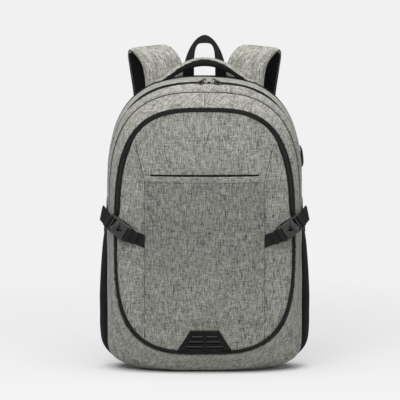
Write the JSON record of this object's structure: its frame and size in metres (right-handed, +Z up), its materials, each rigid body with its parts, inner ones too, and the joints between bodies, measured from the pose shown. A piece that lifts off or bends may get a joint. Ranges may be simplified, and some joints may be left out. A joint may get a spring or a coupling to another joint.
{
  "type": "laptop backpack",
  "caption": "Laptop backpack with a fold-open front half, zipped front pocket, mesh side pockets, side-release compression straps, carry handle and padded shoulder straps.",
  "frame": {"origin": "middle of the base's resting face, on the floor", "axes": "+X to the viewer's right as seen from the front, +Y towards the wearer's back, +Z up; the front faces -Y"},
  "size_m": [0.3306, 0.2405, 0.515],
  "materials": {
    "body_cloth": "grey heather polyester, padded",
    "panel_cloth": "darker grey heather polyester",
    "lining_cloth": "smooth lining cloth",
    "zip_tape": "black woven zip tape",
    "piping": "black piping",
    "air_mesh": "black spacer mesh",
    "pocket_mesh": "black stretch mesh",
    "webbing": "black ribbed webbing",
    "buckle_plastic": "moulded dark grey plastic",
    "patch_rubber": "satin moulded rubber",
    "zip_metal": "gunmetal",
    "base_plastic": "plain board"
  },
  "bodies": {
    "bag": {"rear_gusset": "body_cloth", "rear_zip_tape": "zip_tape", "rear_piping": "piping", "back_panel": "air_mesh", "back_pad_left": "air_mesh", "back_pad_right": "air_mesh", "lumbar_pad": "air_mesh", "laptop_sleeve": "lining_cloth", "base_board": "base_plastic", "mesh_pocket_left": "pocket_mesh", "mesh_pocket_right": "pocket_mesh", "pocket_hem_left": "webbing", "pocket_hem_right": "webbing", "usb_housing": "patch_rubber", "usb_socket": "zip_metal", "strap_yoke": "webbing", "strap_root_left": "body_cloth", "strap_root_right": "body_cloth", "strap_anchor_left": "webbing", "strap_anchor_right": "webbing", "side_webbing_left": "webbing", "side_webbing_right": "webbing"},
    "front_half": {"front_gusset": "body_cloth", "front_zip_tape": "zip_tape", "gusset_piping": "piping", "divider_panel": "lining_cloth", "front_panel": "panel_cloth", "slash_pocket_lower": "panel_cloth", "pocket_zip_tape": "zip_tape", "rubber_patch": "patch_rubber", "strap_front_left": "webbing", "strap_front_right": "webbing", "buckle_female_left": "buckle_plastic", "buckle_female_right": "buckle_plastic"},
    "pocket_flap": {"front_flap": "panel_cloth", "slash_pocket_flap": "panel_cloth", "flap_zip_tape": "zip_tape"},
    "slider_left": {"main_slider_left": "zip_metal"},
    "pull_left": {"main_pull_left": "zip_metal"},
    "slider_right": {"main_slider_right": "zip_metal"},
    "pull_right": {"main_pull_right": "zip_metal"},
    "clip_left": {"buckle_male_left": "buckle_plastic", "strap_tail_left": "webbing"},
    "prong_upper_left_body": {"prong_upper_left": "buckle_plastic"},
    "prong_lower_left_body": {"prong_lower_left": "buckle_plastic"},
    "clip_right": {"buckle_male_right": "buckle_plastic", "strap_tail_right": "webbing"},
    "prong_upper_right_body": {"prong_upper_right": "buckle_plastic"},
    "prong_lower_right_body": {"prong_lower_right": "buckle_plastic"},
    "handle": {"carry_handle": "body_cloth"},
    "loop": {"grab_loop": "webbing"},
    "strap_left": {"shoulder_strap_left": "body_cloth", "strap_adjuster_left": "buckle_plastic", "strap_webbing_left": "webbing"},
    "strap_right": {"shoulder_strap_right": "body_cloth", "strap_adjuster_right": "buckle_plastic", "strap_webbing_right": "webbing"}
  },
  "joints": [
    {"name": "main_opening", "type": "hinge", "parent": "bag", "child": "front_half", "pos_m": [0, -0.052, 0.01001], "axis": [1, 0, 0], "range_deg": [0, 65]},
    {"name": "pocket_opening", "type": "hinge", "parent": "front_half", "child": "pocket_flap", "pos_m": [0, -0.0951, 0.25], "axis": [1, 0, 0], "range_deg": [0, 75]},
    {"name": "slider_travel_left", "type": "slide", "parent": "front_half", "child": "slider_left", "axis": [-1, 0, 0], "range_m": [0, 0.035]},
    {"name": "pull_swing_left", "type": "hinge", "parent": "slider_left", "child": "pull_left", "pos_m": [0, -0.024, 0.45518], "axis": [0, 1, 0], "range_deg": [0, 100]},
    {"name": "slider_travel_right", "type": "slide", "parent": "front_half", "child": "slider_right", "axis": [1, 0, 0], "range_m": [0, 0.035]},
    {"name": "pull_swing_right", "type": "hinge", "parent": "slider_right", "child": "pull_right", "pos_m": [0.014, -0.024, 0.45508], "axis": [0, -1, 0], "range_deg": [0, 100]},
    {"name": "buckle_release_left", "type": "slide", "parent": "front_half", "child": "clip_left", "axis": [-0.7794, 0.3149, 0.5417], "range_m": [0, 0.03]},
    {"name": "squeeze_upper_left", "type": "hinge", "parent": "clip_left", "child": "prong_upper_left_body", "pos_m": [-0.13069, -0.08266, 0.23938], "axis": [0.3746, 0.9272, 0], "range_deg": [0, 6], "stiffness_Nm_per_rad": 0.01},
    {"name": "squeeze_lower_left", "type": "hinge", "parent": "clip_left", "child": "prong_lower_left_body", "pos_m": [-0.13883, -0.07937, 0.22576], "axis": [-0.3746, -0.9272, 0], "range_deg": [0, 6], "stiffness_Nm_per_rad": 0.01},
    {"name": "buckle_release_right", "type": "slide", "parent": "front_half", "child": "clip_right", "axis": [0.7794, 0.3149, 0.5417], "range_m": [0, 0.03]},
    {"name": "squeeze_upper_right", "type": "hinge", "parent": "clip_right", "child": "prong_upper_right_body", "pos_m": [0.13069, -0.08266, 0.23938], "axis": [0.3746, -0.9272, 0], "range_deg": [0, 6], "stiffness_Nm_per_rad": 0.01},
    {"name": "squeeze_lower_right", "type": "hinge", "parent": "clip_right", "child": "prong_lower_right_body", "pos_m": [0.13883, -0.07937, 0.22576], "axis": [-0.3746, 0.9272, 0], "range_deg": [0, 6], "stiffness_Nm_per_rad": 0.01},
    {"name": "handle_lean", "type": "hinge", "parent": "bag", "child": "handle", "pos_m": [0, 0.051, 0.44221], "axis": [1, 0, 0], "range_deg": [0, 30]},
    {"name": "loop_sway", "type": "hinge", "parent": "bag", "child": "loop", "pos_m": [0, 0.0696, 0.44953], "axis": [1, 0, 0], "range_deg": [-10, 7]},
    {"name": "strap_lift_left", "type": "hinge", "parent": "bag", "child": "strap_left", "pos_m": [0, 0.0746, 0.452], "axis": [1, 0, 0], "range_deg": [0, 25]},
    {"name": "strap_lift_right", "type": "hinge", "parent": "bag", "child": "strap_right", "pos_m": [0, 0.0746, 0.452], "axis": [1, 0, 0], "range_deg": [0, 25]}
  ]
}
